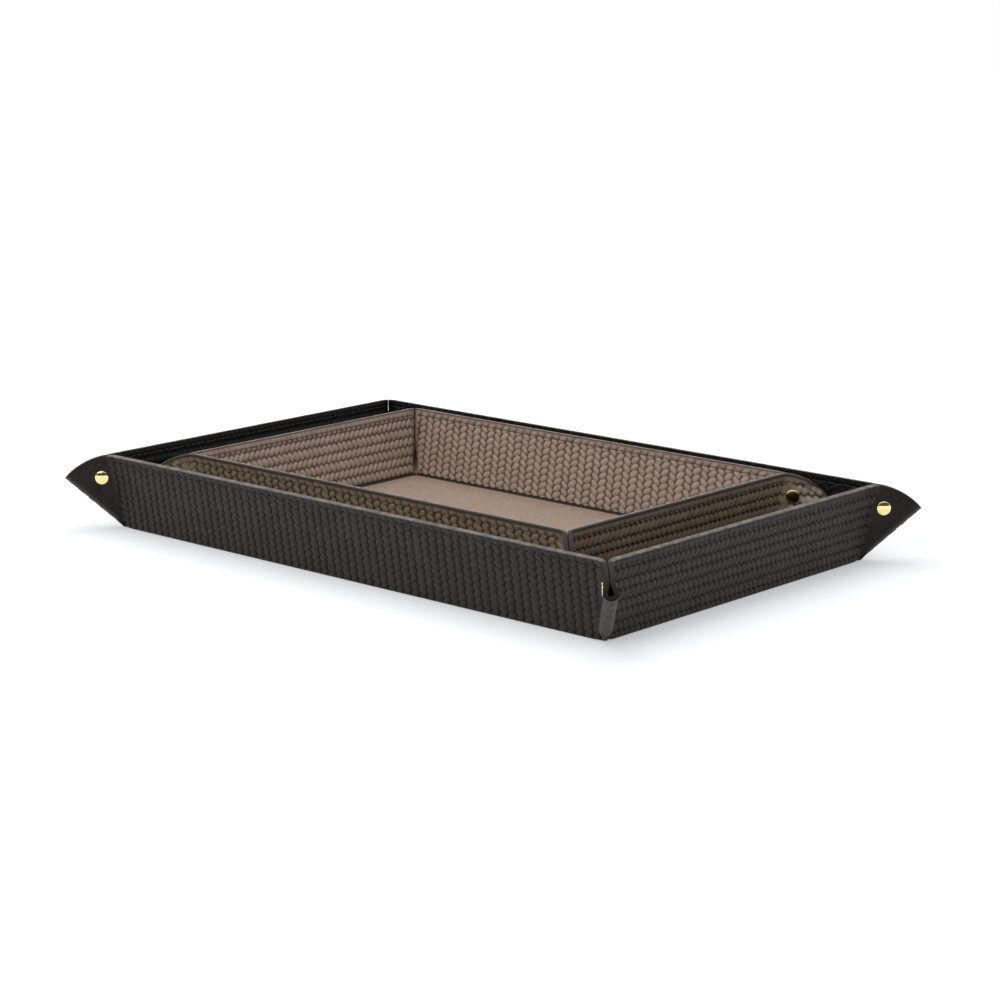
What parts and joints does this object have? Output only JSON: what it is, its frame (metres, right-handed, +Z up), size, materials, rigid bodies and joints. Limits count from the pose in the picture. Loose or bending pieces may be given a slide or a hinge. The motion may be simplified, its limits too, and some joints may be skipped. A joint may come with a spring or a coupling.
{
  "type": "leather trinket tray",
  "caption": "Nested pair of rectangular leather trinket trays with leaning embossed walls, pinched corner ears and brass press studs; the outer tray unfolds flat.",
  "frame": {"origin": "middle of the outer tray's underside, on the surface it stands on", "axes": "+X along the long walls, +Y towards the back long wall, +Z up"},
  "size_m": [0.4616, 0.3016, 0.0524],
  "materials": {
    "dark_leather": "plait-embossed, satin",
    "dark_lining": "plait-embossed, satin",
    "taupe_leather": "plait-embossed, satin",
    "taupe_lining": "fine grain, matt",
    "grey_board": "raw pressed fibre",
    "yellow_brass": "polished"
  },
  "bodies": {
    "outer_base": {"outer_base_cover": "dark_leather", "outer_base_board": "grey_board", "outer_base_lining": "dark_lining"},
    "outer_front_wall": {"outer_front_wall_cover": "dark_leather", "outer_front_wall_board": "grey_board", "outer_front_wall_lining": "dark_lining"},
    "outer_back_wall": {"outer_back_wall_cover": "dark_leather", "outer_back_wall_board": "grey_board", "outer_back_wall_lining": "dark_lining"},
    "outer_left_wall": {"outer_left_wall_cover": "dark_leather", "outer_left_wall_board": "grey_board", "outer_left_wall_lining": "dark_lining"},
    "outer_right_wall": {"outer_right_wall_cover": "dark_leather", "outer_right_wall_board": "grey_board", "outer_right_wall_lining": "dark_lining"},
    "front_left_long_ply": {"outer_front_left_ear_long_ply": "dark_leather", "outer_front_left_snap_stud": "yellow_brass"},
    "front_left_short_ply": {"outer_front_left_ear_short_ply": "dark_leather", "outer_front_left_snap_socket": "yellow_brass"},
    "front_right_long_ply": {"outer_front_right_ear_long_ply": "dark_leather", "outer_front_right_snap_stud": "yellow_brass"},
    "front_right_short_ply": {"outer_front_right_ear_short_ply": "dark_leather", "outer_front_right_snap_socket": "yellow_brass"},
    "back_left_long_ply": {"outer_back_left_ear_long_ply": "dark_leather", "outer_back_left_snap_stud": "yellow_brass"},
    "back_left_short_ply": {"outer_back_left_ear_short_ply": "dark_leather", "outer_back_left_snap_socket": "yellow_brass"},
    "back_right_long_ply": {"outer_back_right_ear_long_ply": "dark_leather", "outer_back_right_snap_stud": "yellow_brass"},
    "back_right_short_ply": {"outer_back_right_ear_short_ply": "dark_leather", "outer_back_right_snap_socket": "yellow_brass"},
    "inner_tray": {"inner_base_cover": "taupe_leather", "inner_base_board": "grey_board", "inner_base_lining": "taupe_lining", "inner_front_wall_cover": "taupe_leather", "inner_front_wall_board": "grey_board", "inner_front_wall_lining": "taupe_lining", "inner_back_wall_cover": "taupe_leather", "inner_back_wall_board": "grey_board", "inner_back_wall_lining": "taupe_lining", "inner_left_wall_cover": "taupe_leather", "inner_left_wall_board": "grey_board", "inner_left_wall_lining": "taupe_lining", "inner_right_wall_cover": "taupe_leather", "inner_right_wall_board": "grey_board", "inner_right_wall_lining": "taupe_lining", "inner_front_left_ear": "taupe_leather", "inner_front_left_snap_stud": "yellow_brass", "inner_front_left_snap_socket": "yellow_brass", "inner_front_right_ear": "taupe_leather", "inner_front_right_snap_stud": "yellow_brass", "inner_front_right_snap_socket": "yellow_brass", "inner_back_left_ear": "taupe_leather", "inner_back_left_snap_stud": "yellow_brass", "inner_back_left_snap_socket": "yellow_brass", "inner_back_right_ear": "taupe_leather", "inner_back_right_snap_stud": "yellow_brass", "inner_back_right_snap_socket": "yellow_brass"}
  },
  "joints": [
    {"name": "front_wall_fold", "type": "hinge", "parent": "outer_base", "child": "outer_front_wall", "pos_m": [0, -0.124, 0], "axis": [1, 0, 0], "range_deg": [0, 80.8]},
    {"name": "back_wall_fold", "type": "hinge", "parent": "outer_base", "child": "outer_back_wall", "pos_m": [0, 0.124, 0], "axis": [-1, 0, 0], "range_deg": [0, 80.8]},
    {"name": "left_wall_fold", "type": "hinge", "parent": "outer_base", "child": "outer_left_wall", "pos_m": [-0.204, 0, 0], "axis": [0, -1, 0], "range_deg": [0, 80.8]},
    {"name": "right_wall_fold", "type": "hinge", "parent": "outer_base", "child": "outer_right_wall", "pos_m": [0.204, 0, 0], "axis": [0, 1, 0], "range_deg": [0, 80.8]},
    {"name": "front_left_crease", "type": "hinge", "parent": "outer_front_wall", "child": "front_left_long_ply", "pos_m": [-0.20028, -0.12409, 0.00059], "axis": [0.1579, 0.1579, -0.9748], "range_deg": [0, 45.74]},
    {"name": "front_left_fold", "type": "hinge", "parent": "front_left_long_ply", "child": "front_left_short_ply", "pos_m": [-0.20443, -0.12443, -0.00069], "axis": [-0.5322, -0.5322, 0.6585], "range_deg": [0, 179]},
    {"name": "front_right_crease", "type": "hinge", "parent": "outer_front_wall", "child": "front_right_long_ply", "pos_m": [0.20028, -0.12409, 0.00059], "axis": [0.1579, -0.1579, 0.9748], "range_deg": [0, 45.74]},
    {"name": "front_right_fold", "type": "hinge", "parent": "front_right_long_ply", "child": "front_right_short_ply", "pos_m": [0.20443, -0.12443, -0.00069], "axis": [-0.5322, 0.5322, -0.6585], "range_deg": [0, 179]},
    {"name": "back_left_crease", "type": "hinge", "parent": "outer_back_wall", "child": "back_left_long_ply", "pos_m": [-0.20028, 0.12409, 0.00059], "axis": [-0.1579, 0.1579, 0.9748], "range_deg": [0, 45.74]},
    {"name": "back_left_fold", "type": "hinge", "parent": "back_left_long_ply", "child": "back_left_short_ply", "pos_m": [-0.20443, 0.12443, -0.00069], "axis": [0.5322, -0.5322, -0.6585], "range_deg": [0, 179]},
    {"name": "back_right_crease", "type": "hinge", "parent": "outer_back_wall", "child": "back_right_long_ply", "pos_m": [0.20028, 0.12409, 0.00059], "axis": [-0.1579, -0.1579, -0.9748], "range_deg": [0, 45.74]},
    {"name": "back_right_fold", "type": "hinge", "parent": "back_right_long_ply", "child": "back_right_short_ply", "pos_m": [0.20443, 0.12443, -0.00069], "axis": [0.5322, 0.5322, 0.6585], "range_deg": [0, 179]},
    {"name": "inner_lift", "type": "slide", "parent": "outer_base", "child": "inner_tray", "axis": [0, 0, 1], "range_m": [0, 0.08]}
  ],
  "couplings": [
    {"joint": "back_wall_fold", "follows": "front_wall_fold", "ratio": 1},
    {"joint": "left_wall_fold", "follows": "front_wall_fold", "ratio": 1},
    {"joint": "right_wall_fold", "follows": "front_wall_fold", "ratio": 1},
    {"joint": "front_left_crease", "follows": "front_wall_fold", "ratio": 0.566},
    {"joint": "front_right_crease", "follows": "front_wall_fold", "ratio": 0.566},
    {"joint": "back_left_crease", "follows": "front_wall_fold", "ratio": 0.566},
    {"joint": "back_right_crease", "follows": "front_wall_fold", "ratio": 0.566},
    {"joint": "front_left_fold", "follows": "front_wall_fold", "ratio": 2.2153},
    {"joint": "front_right_fold", "follows": "front_wall_fold", "ratio": 2.2153},
    {"joint": "back_left_fold", "follows": "front_wall_fold", "ratio": 2.2153},
    {"joint": "back_right_fold", "follows": "front_wall_fold", "ratio": 2.2153}
  ]
}
